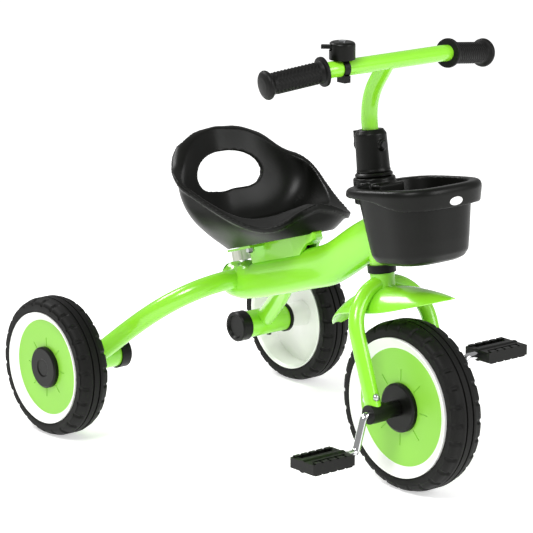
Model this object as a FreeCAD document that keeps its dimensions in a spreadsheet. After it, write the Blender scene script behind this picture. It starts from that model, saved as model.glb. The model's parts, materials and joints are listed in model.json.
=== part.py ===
import FreeCAD, Part
import math
import os
import Sketcher

# Children's tricycle: +X forward, +Y rider's left, +Z up, millimetres, ground at z = 0.

os.makedirs("parts", exist_ok=True)
V = FreeCAD.Vector
doc = FreeCAD.newDocument("tricycle")
sheet = doc.addObject("Spreadsheet::Sheet", "sizes")

SIZES = [
    # overall layout
    ("wheel_base", 494.0), ("front_radius", 114.0), ("rear_radius", 97.0), ("rear_track", 437.0),
    ("head_angle", 8.2), ("fork_rake", 20.3), ("fork_offset", 36.6), ("steer_foot_drop", 114.0), ("handlebar_rise", 447.0),
    ("handlebar_reach", 45.4), ("handlebar_half", 186.0),
    # clearances
    ("run_gap", 0.05), ("side_gap", 0.3), ("slide_gap", 0.1),
    # wheels
    ("tyre_front_width", 50.0), ("tyre_rear_width", 47.0), ("rim_front_radius", 93.5), ("rim_rear_radius", 78.0),
    ("lip_front", 26.9), ("lip_rear", 24.4), ("disc_front_radius", 79.1), ("disc_rear_radius", 66.6),
    ("disc_front_face", 18.9), ("disc_rear_face", 15.8), ("disc_thick", 2.0), ("groove_depth", 2.6),
    ("flange_radius", 32.9), ("flange_face", 25.8), ("cap_radius", 28.8), ("cap_face", 23.0),
    ("rear_axle_radius", 6.0),
    # cranks and pedals
    ("crank_rod_radius", 5.25), ("crank_throw", 46.0), ("crank_phase", 273.8), ("crank_bend", 9.0),
    ("crank_clear", 7.0), ("crank_run", 17.0), ("crank_end_gap", 4.0), ("pedal_gap", 21.0),
    ("pedal_long", 70.0), ("pedal_wide", 46.0), ("pedal_thick", 17.0),
    # frame
    ("beam_half_width", 19.0), ("beam_wall", 2.0), ("head_clear", 2.4), ("head_wall", 2.1), ("head_tube_low", 174.0),
    ("head_tube_high", 296.0), ("arch_tube_radius", 13.5), ("tube_wall", 1.5),
    ("sleeve_radius", 19.5), ("sleeve_in", 118.0), ("sleeve_out", 190.0), ("sleeve_cap_radius", 22.0),
    ("sleeve_cap_in", 101.0), ("sleeve_ring_radius", 21.5), ("sleeve_ring_out", 197.0),
    # steering
    ("steerer_radius", 11.0), ("cup_low", 169.2), ("cup_wall", 3.5), ("cup_flange", 9.5),
    ("cup_top", 302.1), ("fork_tube_radius", 10.5), ("fork_half_span", 63.5), ("fork_gap", 51.0),
    ("collar_radius", 22.0), ("collar_low", 302.3), ("collar_high", 358.5), ("axle_sleeve_radius", 12.8),
    ("axle_sleeve_out", 75.0), ("bar_radius", 10.8), ("grip_radius", 14.5), ("grip_flange_radius", 19.5),
    ("bell_station", 77.5), ("bell_radius", 17.0), ("bell_height", 23.0),
    # seat and basket
    ("seat_slope", 17.3), ("seat_back_height", 190.0), ("seat_half_width", 112.0), ("seat_wall", 4.5),
    ("pad_half_width", 8.6), ("pad_top", 3.0),
    ("basket_half_width", 76.0), ("basket_rim_level", 289.5), ("basket_depth", 101.5), ("basket_wall", 3.0),
]


class Size:
    """A number that remembers the sheet expression it came from."""

    def __init__(self, value, text):
        self.value = float(value)
        self.text = text

    def __add__(self, other):
        return joined(self, "+", other)

    def __radd__(self, other):
        return joined(other, "+", self)

    def __sub__(self, other):
        return joined(self, "-", other)

    def __rsub__(self, other):
        return joined(other, "-", self)

    def __mul__(self, other):
        return joined(self, "*", other)

    def __rmul__(self, other):
        return joined(other, "*", self)

    def __truediv__(self, other):
        return joined(self, "/", other)

    def __neg__(self):
        return joined(0, "-", self)


def sized(item):
    """Wrap a plain number as a Size."""
    if isinstance(item, Size):
        return item
    return Size(item, "%.6g" % item)


def joined(left, sign, right):
    """Combine two sizes and their expression texts."""
    a, b = sized(left), sized(right)
    value = {"+": a.value + b.value, "-": a.value - b.value, "*": a.value * b.value}.get(sign)
    if value is None:
        value = a.value / b.value
    return Size(value, "(%s %s %s)" % (a.text, sign, b.text))


def num(item):
    """Plain value of a size or number."""
    return item.value if isinstance(item, Size) else float(item)


G = {}
for row, (alias, amount) in enumerate(SIZES, start=1):
    sheet.set("A%d" % row, alias)
    sheet.set("B%d" % row, "%.6g" % amount)
    sheet.setAlias("B%d" % row, alias)
    G[alias] = Size(amount, "sizes." + alias)
doc.recompute()

# ------------------------------------------------------------------ shared positions
REAR_X = -(G["wheel_base"] + G["front_radius"] - G["rear_radius"]) / 2
FRONT_X = REAR_X + G["wheel_base"]
CRANK_KNEE = G["axle_sleeve_out"] + G["crank_clear"]
CRANK_ELBOW = CRANK_KNEE + G["crank_run"]
PEDAL_IN = CRANK_ELBOW + G["pedal_gap"]
SEAT_TRAVEL = 12.0
HEAD = math.radians(num(G["head_angle"]))
FOOT_X = FRONT_X - G["fork_offset"]
FOOT_Z = G["front_radius"] + G["front_radius"] - G["steer_foot_drop"]
FOOT = V(num(FOOT_X), 0, num(FOOT_Z))
HEAD_IN = G["steerer_radius"] + G["head_clear"]
HEAD_R = HEAD_IN + G["head_wall"]
CUP_R = HEAD_R + G["cup_wall"]
CUP_TOP_R = HEAD_R + G["cup_flange"]
FORK_RISE = G["front_radius"] + G["fork_gap"]
FOOT_DRAWN = V(201.9, 0, 114.0)
AXIS_W = V(-math.sin(HEAD), 0, math.cos(HEAD))
AXIS_U = V(math.cos(HEAD), 0, math.sin(HEAD))
SLOPE = math.radians(num(G["seat_slope"]))
SEAT_O = V(-80.0, 0, 252.5)
SEAT_T = V(math.cos(SLOPE), 0, math.sin(SLOPE))
SEAT_N = V(-math.sin(SLOPE), 0, math.cos(SLOPE))
TO_LEFT = FreeCAD.Rotation(V(1, 0, 0), -90)
TO_RIGHT = FreeCAD.Rotation(V(1, 0, 0), 90)
STEER_ROT = FreeCAD.Rotation(V(0, 1, 0), -num(G["head_angle"]))
SEAT_ROT = FreeCAD.Rotation(V(0, 1, 0), -num(G["seat_slope"]))


def steer(u, v, w):
    """Point given along the tilted steering frame."""
    return FOOT + AXIS_U * num(u) + V(0, num(v), 0) + AXIS_W * num(w)


def seat(t, y, n):
    """Point given along the sloping seat frame."""
    return SEAT_O + SEAT_T * num(t) + V(0, num(y), 0) + SEAT_N * num(n)


def place(obj, base, rot=None):
    """Set a placement and bind any sized coordinate of it to the sheet."""
    rot = rot or FreeCAD.Rotation()
    obj.Placement = FreeCAD.Placement(V(*[num(c) for c in base]), rot)
    for name, coord in zip("xyz", base):
        if isinstance(coord, Size):
            obj.setExpression("Placement.Base." + name, coord.text)


def origin_plane(body, role):
    """The body's own origin plane with this role."""
    return [o for o in body.Origin.OriginFeatures if o.Role == role][0]


def sketch_on(body, role, name):
    """New sketch flat on one of the body's origin planes."""
    sk = body.newObject("Sketcher::SketchObject", name)
    sk.AttachmentSupport = [(origin_plane(body, role), "")]
    sk.MapMode = "FlatFace"
    return sk


def pin(sk, geo, end, x, y):
    """Fix one sketch point to sized coordinates."""
    for kind, coord in (("DistanceX", x), ("DistanceY", y)):
        index = sk.addConstraint(Sketcher.Constraint(kind, -1, 1, geo, end, num(coord)))
        if isinstance(coord, Size):
            sk.setExpression("Constraints[%d]" % index, coord.text)


def outline(sk, pts):
    """Closed polygon with every corner driven by the sheet."""
    xy = [V(num(a), num(b), 0) for a, b in pts]
    ids = []
    for i in range(len(xy)):
        ids.append(sk.addGeometry(Part.LineSegment(xy[i], xy[(i + 1) % len(xy)]), False))
    for i in range(len(xy)):
        sk.addConstraint(Sketcher.Constraint("Coincident", ids[i], 2, ids[(i + 1) % len(xy)], 1))
    for geo, (a, b) in zip(ids, pts):
        pin(sk, geo, 1, a, b)


def turned(label, pts, base, rot):
    """A turned piece: closed profile (radius, along) spun about the body's own Z."""
    body = doc.addObject("PartDesign::Body", label)
    body.Label = label
    sk = sketch_on(body, "XZ_Plane", label + "_profile")
    outline(sk, pts)
    rev = body.newObject("PartDesign::Revolution", label + "_turn")
    rev.Profile = sk
    rev.ReferenceAxis = (sk, ["V_Axis"])
    rev.Angle = 360
    body.Tip = rev
    place(body, base, rot)
    return body


def plain(label, shape, base=None):
    """A piece whose free-form shape is computed from the sheet values."""
    obj = doc.addObject("Part::Feature", label)
    obj.Label = label
    obj.Shape = shape
    if base is not None:
        place(obj, base)
    return obj


def rod(p0, p1, radius):
    """Solid cylinder between two points."""
    axis = p1.sub(p0)
    return Part.makeCylinder(num(radius), axis.Length, p0, axis)


def hexagon(p0, axis, radius, height):
    """Solid hexagon prism."""
    poly = []
    rot = FreeCAD.Rotation(V(0, 0, 1), axis)
    for k in range(7):
        a = math.radians(60 * k)
        poly.append(p0 + rot.multVec(V(radius * math.cos(a), radius * math.sin(a), 0)))
    unit = V(axis.x, axis.y, axis.z)
    unit.normalize()
    return Part.Face(Part.makePolygon(poly)).extrude(unit * height)


def path_wire(pts, bends):
    """Wire through corner points with a circular bend at each inner corner."""
    edges = []
    start = pts[0]
    for i in range(1, len(pts) - 1):
        a = pts[i - 1].sub(pts[i]).normalize()
        b = pts[i + 1].sub(pts[i]).normalize()
        half = a.getAngle(b) / 2.0
        cut = bends[i - 1] / math.tan(half)
        mid_dir = (a + b).normalize()
        centre = pts[i] + mid_dir * (bends[i - 1] / math.sin(half))
        p_in, p_out = pts[i] + a * cut, pts[i] + b * cut
        p_mid = centre - mid_dir * bends[i - 1]
        if p_in.sub(start).Length > 1e-6:
            edges.append(Part.makeLine(start, p_in))
        edges.append(Part.Arc(p_in, p_mid, p_out).toShape())
        start = p_out
    edges.append(Part.makeLine(start, pts[-1]))
    return Part.Wire(edges)


def swept(wire, radius):
    """Round bar swept along a wire."""
    first = wire.Edges[0]
    at = first.valueAt(first.FirstParameter)
    way = first.tangentAt(first.FirstParameter)
    circle = Part.Wire(Part.makeCircle(radius, at, way))
    return wire.makePipeShell([circle], True, False)


def tube(wire, radius, wall):
    """Hollow round tube swept along a wire."""
    return swept(wire, num(radius)).cut(swept(wire, num(radius) - num(wall)))


def spline_loop(pts):
    """Closed smooth wire through points."""
    curve = Part.BSplineCurve()
    curve.interpolate(pts, PeriodicFlag=True)
    return Part.Wire(curve.toShape())


def loop_points(half, frame, level):
    """Points of a closed outline from its left half, mirrored to the right."""
    pts = [frame(t, y, level) for t, y in half]
    pts += [frame(t, -y, level) for t, y in reversed(half[1:-1])]
    return pts


def one_solid(shape):
    """The single solid inside a boolean result, largest if there are crumbs."""
    solids = sorted(shape.Solids, key=lambda s: s.Volume)
    return solids[-1]


# ------------------------------------------------------------------ wheels
def tyre_profile(outer, inner, width):
    """Tyre section with two deep grooves and three ribs."""
    h = width / 2
    g = G["groove_depth"]
    return [(inner, -h + 2), (inner + 5, -h), (outer - 9, -h + 0.6), (outer - 3.2, -h + 4.2), (outer - 1, -13),
            (outer, -10), (outer, -6.4), (outer - g, -6.4), (outer - g, -4.2), (outer, -4.2), (outer, 4.2),
            (outer - g, 4.2), (outer - g, 6.4), (outer, 6.4), (outer, 10), (outer - 1, 13),
            (outer - 3.2, h - 4.2), (outer - 9, h - 0.6), (inner + 5, h), (inner, h - 2)]


def rear_wheel(side, hand):
    """Tyre, rim, disc and cap of one rear wheel; local +Z points outward."""
    rot = TO_LEFT if hand > 0 else TO_RIGHT
    base = (REAR_X, G["rear_track"] / 2 * hand, G["rear_radius"])
    bore = G["rear_axle_radius"] + G["run_gap"]
    r, lip, face = G["rim_rear_radius"], G["lip_rear"], G["disc_rear_face"]
    seat_face = face - G["disc_thick"]
    hub_in = -(G["rear_track"] / 2 - G["sleeve_ring_out"] - G["side_gap"])
    turned("rear_tyre_" + side, tyre_profile(G["rear_radius"], r, G["tyre_rear_width"]), base, rot)
    rim = [(bore, hub_in), (17, hub_in), (18.5, seat_face - 3.3), (G["disc_rear_radius"], seat_face - 3.3),
           (r - 4.5, 10), (r - 4.5, -20.5), (r - 1.7, -23.4), (r, -23.4), (r, lip), (r - 1.6, lip),
           (G["disc_rear_radius"] + 0.6, face), (G["disc_rear_radius"], face),
           (G["disc_rear_radius"], seat_face), (bore, seat_face)]
    turned("rear_rim_" + side, rim, base, rot)
    disc = [(10, seat_face), (G["disc_rear_radius"], seat_face), (G["disc_rear_radius"], face), (10, face)]
    grooved("rear_disc_" + side, disc, 30.0, 42.0, face, base, rot)
    cap = [(0, face + 4.2), (9.6, face + 4.2), (9.6, face), (G["cap_radius"], face),
           (G["cap_radius"], G["cap_face"] - 2), (G["cap_radius"] - 2.5, G["cap_face"]), (13, G["cap_face"]),
           (11, G["cap_face"] - 1.2), (0, G["cap_face"] - 1.2)]
    turned("hub_cap_" + side, cap, base, rot)
    axle = [(0, 2 - G["rear_track"] / 2 + G["sleeve_cap_in"] + 4), (G["rear_axle_radius"],
            2 - G["rear_track"] / 2 + G["sleeve_cap_in"] + 4), (G["rear_axle_radius"], seat_face + 0.2),
            (9, seat_face + 0.2), (9, face + 2.6), (0, face + 2.6)]
    turned("rear_axle_" + side, axle, base, rot)


def grooved(label, pts, r_in, r_out, face, base, rot):
    """Disc with eight shallow radial grooves in its outer face."""
    body = turned(label, pts, base, rot)
    sk = sketch_on(body, "XY_Plane", label + "_groove")
    sk.AttachmentOffset = FreeCAD.Placement(V(0, 0, num(face)), FreeCAD.Rotation())
    sk.setExpression("AttachmentOffset.Base.z", face.text)
    outline(sk, [(r_in, -0.9), (r_out, -0.9), (r_out, 0.9), (r_in, 0.9)])
    cut = body.newObject("PartDesign::Pocket", label + "_cut")
    cut.Profile = sk
    cut.Length = 0.8
    ring = body.newObject("PartDesign::PolarPattern", label + "_ring")
    ring.Originals = [cut]
    ring.Axis = (sk, ["N_Axis"])
    ring.Angle = 360
    ring.Occurrences = 8
    body.Tip = ring


def front_wheel():
    """Tyre, rim, discs and flanges; local +Z points to the rider's left."""
    base = (FRONT_X, 0, G["front_radius"])
    r, lip, face = G["rim_front_radius"], G["lip_front"], G["disc_front_face"]
    seat_face = face - G["disc_thick"]
    turned("front_tyre", tyre_profile(G["front_radius"], r, G["tyre_front_width"]), base, TO_LEFT)
    bore = G["crank_rod_radius"]
    d = G["disc_front_radius"]
    half = [(bore, seat_face), (28, seat_face), (28, 3), (r - 5, 3), (r - 5, 12), (d - 5, 15), (d - 5, seat_face),
            (d, seat_face), (d, face), (d + 0.8, face), (r - 1.8, lip), (r, lip)]
    rim = [(a, -1 * sized(b)) for a, b in half] + list(reversed(half))
    turned("front_rim", rim, base, TO_LEFT)
    for side, rot in (("left", TO_LEFT), ("right", TO_RIGHT)):
        disc = [(9, seat_face), (d, seat_face), (d, face), (9, face)]
        grooved("front_disc_" + side, disc, 36.0, 52.0, face, base, rot)
        f = G["flange_face"]
        flange = [(bore, face), (G["flange_radius"], face), (G["flange_radius"], f - 2),
                  (G["flange_radius"] - 3, f), (bore, f)]
        turned("hub_flange_" + side, flange, base, rot)


def crank():
    """One-piece bent crank through the front hub."""
    a = math.radians(num(G["crank_phase"]))
    way = V(math.cos(a), 0, math.sin(a))
    centre = V(num(FRONT_X), 0, num(G["front_radius"]))
    end = num(PEDAL_IN) + num(G["pedal_long"]) - num(G["crank_end_gap"])
    throw, knee, elbow = num(G["crank_throw"]), num(CRANK_KNEE), num(CRANK_ELBOW)
    pts = [V(0, -end, 0) + way * throw, V(0, -elbow, 0) + way * throw, V(0, -knee, 0), V(0, knee, 0),
           V(0, elbow, 0) - way * throw, V(0, end, 0) - way * throw]
    wire = path_wire(pts, [num(G["crank_bend"])] * 4)
    obj = plain("crank", swept(wire, num(G["crank_rod_radius"])))
    place(obj, (FRONT_X, 0, G["front_radius"]))
    return [centre + way * throw, centre - way * throw]


def pedal(label, centre, hand):
    """Open cage pedal with a round barrel along the spindle."""
    lon, wid, thk = (num(G[n]) for n in ("pedal_long", "pedal_wide", "pedal_thick"))
    y0 = num(PEDAL_IN)
    cage = Part.makeBox(wid, lon, thk - 3, V(-wid / 2, y0, -(thk - 3) / 2))
    for sx in (-1, 1):
        x = sx * (wid / 2 - 8.5)
        cage = cage.cut(Part.makeBox(9, lon - 16, thk + 2, V(x - 4.5, y0 + 8, -thk / 2 - 1)))
        for k in range(5):
            y = y0 + 4 + k * (lon - 18) / 4
            block = Part.makeBox(6, 10, thk, V(sx * (wid / 2 - 3) - 3, y, -thk / 2))
            cage = cage.fuse(block)
    barrel = Part.makeCylinder(thk / 2, lon, V(0, y0, 0), V(0, 1, 0))
    deep = lon - num(G["crank_end_gap"]) + 2.0
    hole = Part.makeCylinder(num(G["crank_rod_radius"] + G["run_gap"]), deep, V(0, y0 - 1, 0), V(0, 1, 0))
    shape = one_solid(cage.fuse(barrel).cut(hole).removeSplitter())
    if hand < 0:
        shape = shape.mirror(V(0, 0, 0), V(0, 1, 0))
    shape.translate(V(centre.x, 0, centre.z))
    plain(label, shape)


# ------------------------------------------------------------------ frame
def beam_section(x, low, high, half):
    """Upright rounded-oval section of the beam as a smooth closed wire."""
    mid, rise = (low + high) / 2.0, (high - low) / 2.0
    pts = []
    for k in range(24):
        a = 2 * math.pi * k / 24
        c, s = math.cos(a), math.sin(a)
        y = half * math.copysign(abs(c) ** 0.84, c)
        z = mid + rise * math.copysign(abs(s) ** 0.84, s)
        pts.append(V(x, y, z))
    return spline_loop(pts)


def beam_loft(inset, ends):
    """Loft of the beam, shrunk by the wall on every side."""
    half = num(G["beam_half_width"])
    rows = [(-144.5, 197.0, 222.0, 0.60), (-140.0, 190.0, 232.5, 0.84), (-128.0, 186.5, 236.5, 0.97),
            (-110.0, 187.0, 238.5, 1.0), (-92.0, 190.5, 240.5, 1.0), (-85.0, 192.2, 243.2, 1.0),
            (-79.0, 193.6, 248.4, 1.0), (-73.0, 195.2, 252.4, 1.0), (-66.0, 197.3, 255.2, 1.0),
            (-55.0, 200.6, 258.7, 1.0), (-38.0, 205.9, 264.0, 1.0), (-20.0, 211.5, 269.6, 1.0),
            (15.0, 222.8, 281.0, 1.0), (50.0, 234.0, 292.5, 1.0), (90.0, 248.5, 313.5, 1.0),
            (120.0, 266.5, 334.0, 0.98), (150.0, 286.5, 351.5, 0.94), (172.0, 303.0, 362.5, 0.90)]
    wires = []
    for x, low, high, k in rows[ends:]:
        move = (FOOT - FOOT_DRAWN) * (max(0.0, x + 20.0) / 192.0)
        wires.append(beam_section(x + move.x, low + inset + move.z, high - inset + move.z, half * k - inset))
    return Part.makeLoft(wires, True, False)


def arch_wire():
    """Centreline of the rear arch in its sloping plane."""
    top = V(-113.8, 0, 216.7)
    sleeve_mid = (num(G["sleeve_in"]) + num(G["sleeve_out"])) / 2
    foot = V(num(REAR_X), 0, num(G["rear_radius"])).sub(top)
    reach = foot.Length
    down = foot.normalize()
    left = [(0.0, 0), (43.4, 4.3), (76.4, 17.9), (100.6, 38.8), (118.0, 65.5), (130.2, 95.8), (139.1, 127.8),
            (146.4, 159.3), (sleeve_mid, reach)]
    pts = [top + V(0, -y, 0) + down * s for y, s in reversed(left[1:])]
    pts += [top + V(0, y, 0) + down * s for y, s in left]
    curve = Part.BSplineCurve()
    curve.interpolate(pts)
    return Part.Wire(curve.toShape())


def sleeve_rod(hand, radius, y0, y1):
    """Cylinder on the rear axle line between two distances from the middle."""
    x, z = num(REAR_X), num(G["rear_radius"])
    return rod(V(x, hand * num(y0), z), V(x, hand * num(y1), z), radius)


def slot_cut():
    """Round hole for the clamp bolt foot through the beam top."""
    return rod(seat(-30, 0, -8), seat(-30, 0, 4), 4.0)


def frame():
    """Beam, arch, head tube, sleeves and their small parts."""
    arch_line = arch_wire()
    arch_out = swept(arch_line, num(G["arch_tube_radius"]))
    head_axis = rod(steer(0, 0, 100), steer(0, 0, 340), HEAD_R)
    beam = beam_loft(0, 0).cut(beam_loft(num(G["beam_wall"]), 1))
    beam = one_solid(beam.cut(arch_out).cut(head_axis).cut(slot_cut()))
    plain("main_beam", beam)
    arch = arch_out.cut(swept(arch_line, num(G["arch_tube_radius"] - G["tube_wall"])))
    for hand in (-1, 1):
        arch = arch.cut(sleeve_rod(hand, G["sleeve_radius"], 100, 215))
    plain("rear_arch", one_solid(arch))
    head_in = HEAD_IN
    turned("head_tube", [(head_in, G["head_tube_low"]), (HEAD_R, G["head_tube_low"]),
           (HEAD_R, G["head_tube_high"]), (head_in, G["head_tube_high"])],
           (FOOT_X, 0, FOOT_Z), STEER_ROT)
    run = G["steerer_radius"] + G["run_gap"]
    turned("lower_head_cup", [(run, G["cup_low"]), (CUP_R - 1, G["cup_low"]),
           (CUP_R, G["cup_low"] + 1), (CUP_R, G["cup_low"] + 11),
           (HEAD_R, G["cup_low"] + 11), (HEAD_R, G["head_tube_low"]),
           (head_in, G["head_tube_low"]), (head_in, G["head_tube_low"] + 8), (run, G["head_tube_low"] + 8)],
           (FOOT_X, 0, FOOT_Z), STEER_ROT)
    turned("upper_head_cup", [(run, G["head_tube_high"] - 8), (head_in, G["head_tube_high"] - 8),
           (head_in, G["head_tube_high"]), (CUP_TOP_R - 2.5, G["head_tube_high"]),
           (CUP_TOP_R, G["head_tube_high"] + 2), (CUP_TOP_R, G["cup_top"] - 2),
           (CUP_TOP_R - 2, G["cup_top"]), (run, G["cup_top"])],
           (FOOT_X, 0, FOOT_Z), STEER_ROT)
    for side, hand in (("left", 1), ("right", -1)):
        rear_sleeve(side, hand)
    plain("seat_slide_pad", slide_pad(beam_loft(0, 0)))
    bolt = rod(seat(-30, 0, -2.4), seat(-30, 0, 17), 4.0).cut(beam_loft(0, 0))
    bolt = bolt.fuse(rod(seat(-30, 0, -7), seat(-30, 0, -2), 4.0))
    bolt = bolt.fuse(rod(seat(-30, 0, 16.4), seat(-30, 0, 20), 7.5))
    plain("seat_clamp_bolt", one_solid(bolt.removeSplitter()))


def rear_sleeve(side, hand):
    """Axle sleeve, its caps and grub screw on one side; local +Z outward."""
    rot = TO_LEFT if hand > 0 else TO_RIGHT
    base = (REAR_X, 0, G["rear_radius"])
    r, core = G["sleeve_radius"], G["rear_axle_radius"]
    inner = r - 2
    turned("rear_sleeve_" + side, [(inner, G["sleeve_in"]), (r, G["sleeve_in"]), (r, G["sleeve_out"]),
           (inner, G["sleeve_out"])], base, rot)
    c, a = G["sleeve_cap_radius"], G["sleeve_cap_in"]
    turned("sleeve_cap_" + side, [(0, a + 3), (15, a + 3), (17, a), (c - 2, a), (c, a + 2), (c, G["sleeve_in"]),
           (inner, G["sleeve_in"]), (inner, G["sleeve_in"] + 10), (core, G["sleeve_in"] + 10), (core, a + 6),
           (0, a + 6)], base, rot)
    o, n = G["sleeve_ring_out"], G["sleeve_ring_radius"]
    turned("sleeve_ring_" + side, [(core, G["sleeve_out"] - 10), (inner, G["sleeve_out"] - 10),
           (inner, G["sleeve_out"]), (n, G["sleeve_out"]), (n, o - 2), (n - 2, o), (core, o)], base, rot)
    x, z = num(REAR_X), num(G["rear_radius"])
    y = hand * 165.0
    head = rod(V(x, y, z - num(r) - 2.4), V(x, y, z - num(r) + 0.6), 3.6).cut(sleeve_rod(hand, r, 100, 215))
    plain("sleeve_screw_" + side, one_solid(head))


def slide_pad(beam):
    """Black pad seated on the beam crown, with a flat straight top."""
    half, top = num(G["pad_half_width"]), num(G["pad_top"])
    bar = plate_box(14, 106, -half, half, -9, top)
    return one_solid(bar.cut(beam))


# ------------------------------------------------------------------ steering
def fork_point(y, s):
    """Point in the raked plane of the fork, s measured up from the wheel axle."""
    a = math.radians(num(G["fork_rake"]))
    return V(num(FRONT_X) - math.sin(a) * num(s), num(y), num(G["front_radius"]) + math.cos(a) * num(s))


def fork_wire():
    """Legs and round arch of the fork."""
    half, rise = num(G["fork_half_span"]), num(FORK_RISE)
    bend = rise - half
    left = Part.makeLine(fork_point(-half, 0), fork_point(-half, bend))
    k = math.sqrt(0.5) * half
    parts = [left, Part.Arc(fork_point(-half, bend), fork_point(-k, bend + k), fork_point(0, rise)).toShape(),
             Part.Arc(fork_point(0, rise), fork_point(k, bend + k), fork_point(half, bend)).toShape(),
             Part.makeLine(fork_point(half, bend), fork_point(half, 0))]
    return Part.Wire(parts)


def fork():
    """Fork arch, crown, steerer, mudguard, bearing sleeves and bolts."""
    line = fork_wire()
    r, wall = G["fork_tube_radius"], G["tube_wall"]
    solid = swept(line, num(r))
    out = num(G["axle_sleeve_out"])
    arch = solid.cut(swept(line, num(r - wall)))
    axle_rods = [axle_rod(hand, G["axle_sleeve_radius"], 20, 90) for hand in (-1, 1)]
    bolts, nuts = zip(*[fork_bolt(hand) for hand in (-1, 1)])
    for hand, cutter in zip((-1, 1), axle_rods):
        arch = arch.cut(cutter)
        arch = arch.cut(rod(fork_point(hand * num(G["fork_half_span"]), -20),
                            fork_point(hand * num(G["fork_half_span"]), 5), 12))
    for item in bolts + nuts:
        arch = arch.cut(item)
    plain("fork_arch", one_solid(arch))
    crown = rod(steer(0, 0, 150), steer(0, 0, num(G["cup_low"]) - 0.3), 16.5).cut(solid)
    crown = crown.cut(rod(steer(0, 0, 140), steer(0, 0, 190), G["steerer_radius"]))
    crown = sorted(crown.Solids, key=lambda s: s.CenterOfMass.z)[-1]
    plain("fork_crown", crown)
    steerer = rod(steer(0, 0, 150), steer(0, 0, 318), G["steerer_radius"]).cut(solid)
    steerer = steerer.cut(rod(steer(0, 0, 100), steer(0, 0, 400), G["steerer_radius"] - 2))
    steerer = sorted(steerer.Solids, key=lambda s: s.CenterOfMass.z)[-1]
    plain("steerer_tube", steerer)
    plain("mudguard", mudguard(solid))
    for side, hand, bolt in (("right", -1, bolts[0]), ("left", 1, bolts[1])):
        sleeve = axle_rod(hand, G["axle_sleeve_radius"] - 2, 26.3, 50).fuse(
            axle_rod(hand, G["axle_sleeve_radius"], 50, out))
        leg = rod(fork_point(hand * num(G["fork_half_span"]), 0), fork_point(hand * num(G["fork_half_span"]), 32),
                  r - wall)
        sleeve = sleeve.fuse(leg).cut(axle_rod(hand, G["crank_rod_radius"] + G["run_gap"], 0, 90)).cut(bolt)
        plain("axle_sleeve_" + side, one_solid(sleeve.removeSplitter()))
    plain("fork_bolts", Part.makeCompound(list(bolts)))
    plain("fork_nuts", Part.makeCompound(list(nuts)))


def axle_rod(hand, radius, y0, y1):
    """Cylinder on the front axle line."""
    x, z = num(FRONT_X), num(G["front_radius"])
    return rod(V(x, hand * num(y0), z), V(x, hand * num(y1), z), radius)


def fork_bolt(hand):
    """Dome-head bolt through the foot of one fork leg, fore and aft, and its nut."""
    a = math.radians(num(G["fork_rake"]))
    ahead = V(math.cos(a), 0, math.sin(a))
    at = fork_point(hand * num(G["fork_half_span"]), 20)
    r = num(G["fork_tube_radius"])
    shank = rod(at - ahead * (r + 4), at + ahead * (r + 1), 2.5)
    ball = Part.makeSphere(5.6, at + ahead * (r - 2.2))
    ball = ball.cut(rod(at - ahead * 30, at + ahead * (r - 0.6), 12))
    nut = hexagon(at - ahead * (r + 3.4), ahead, 4.6, 3.6).cut(shank)
    return one_solid(shank.fuse(ball)), one_solid(nut)


def roof_wire(x, crest, drop, half, inset):
    """Crescent cross-section of the mudguard at one station."""
    top = Part.Arc(V(x, -half, crest - drop), V(x, 0, crest), V(x, half, crest - drop)).toShape()
    low = Part.Arc(V(x, half - inset * 0.4, crest - drop - inset * 0.5), V(x, 0, crest - inset),
                   V(x, -half + inset * 0.4, crest - drop - inset * 0.5)).toShape()
    e1 = Part.makeLine(V(x, half, crest - drop), V(x, half - inset * 0.4, crest - drop - inset * 0.5))
    e2 = Part.makeLine(V(x, -half + inset * 0.4, crest - drop - inset * 0.5), V(x, -half, crest - drop))
    return Part.Wire([top, e1, low, e2])


def mudguard(arch_solid):
    """Pressed leaf-shaped mudguard wrapped under the fork arch."""
    rows = [(88, 197, 3, 8), (105, 219, 11, 22), (130, 241, 20, 33), (160, 257, 28, 39), (190, 266, 31, 41),
            (220, 271, 29, 40), (250, 273.5, 22, 35), (280, 274.5, 13, 26), (303, 274.5, 5, 13), (314, 274.5, 1.5, 5)]
    move = FOOT - FOOT_DRAWN
    wires = [roof_wire(x + move.x, crest + move.z, drop, half, 2.4) for x, crest, drop, half in rows]
    shell = Part.makeLoft(wires, True, False)
    shell = shell.cut(arch_solid)
    return one_solid(shell.cut(rod(steer(0, 0, 140), steer(0, 0, 190), 16.5)))


def stem_wire():
    """Gooseneck centreline from inside the collar up to the handlebar."""
    turn = math.radians(43.2)
    bend = 80.0
    u1, w1 = num(G["handlebar_reach"]), num(G["handlebar_rise"])
    rise = (u1 - bend * (1 - math.cos(turn))) / math.sin(turn)
    w0 = w1 - bend * math.sin(turn) - rise * math.cos(turn)
    half = turn / 2
    p0, p1 = steer(0, 0, 319), steer(0, 0, w0)
    p2 = steer(bend * (1 - math.cos(half)), 0, w0 + bend * math.sin(half))
    p3 = steer(bend * (1 - math.cos(turn)), 0, w0 + bend * math.sin(turn))
    return Part.Wire([Part.makeLine(p0, p1), Part.Arc(p1, p2, p3).toShape(), Part.makeLine(p3, steer(u1, 0, w1))])


def bar_point(y, s):
    """Point of the handlebar centreline plane, s measured along the back-sweep."""
    centre = steer(G["handlebar_reach"], 0, G["handlebar_rise"])
    return centre + V(-0.846 * s, y, -0.532 * s)


def bar_ends():
    """Unit direction of each grip and the point where it starts."""
    half = num(G["handlebar_half"])
    slant = bar_point(half, 22.5).sub(bar_point(97, 0))
    slant.normalize()
    return bar_point(97, 0), slant


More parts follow.
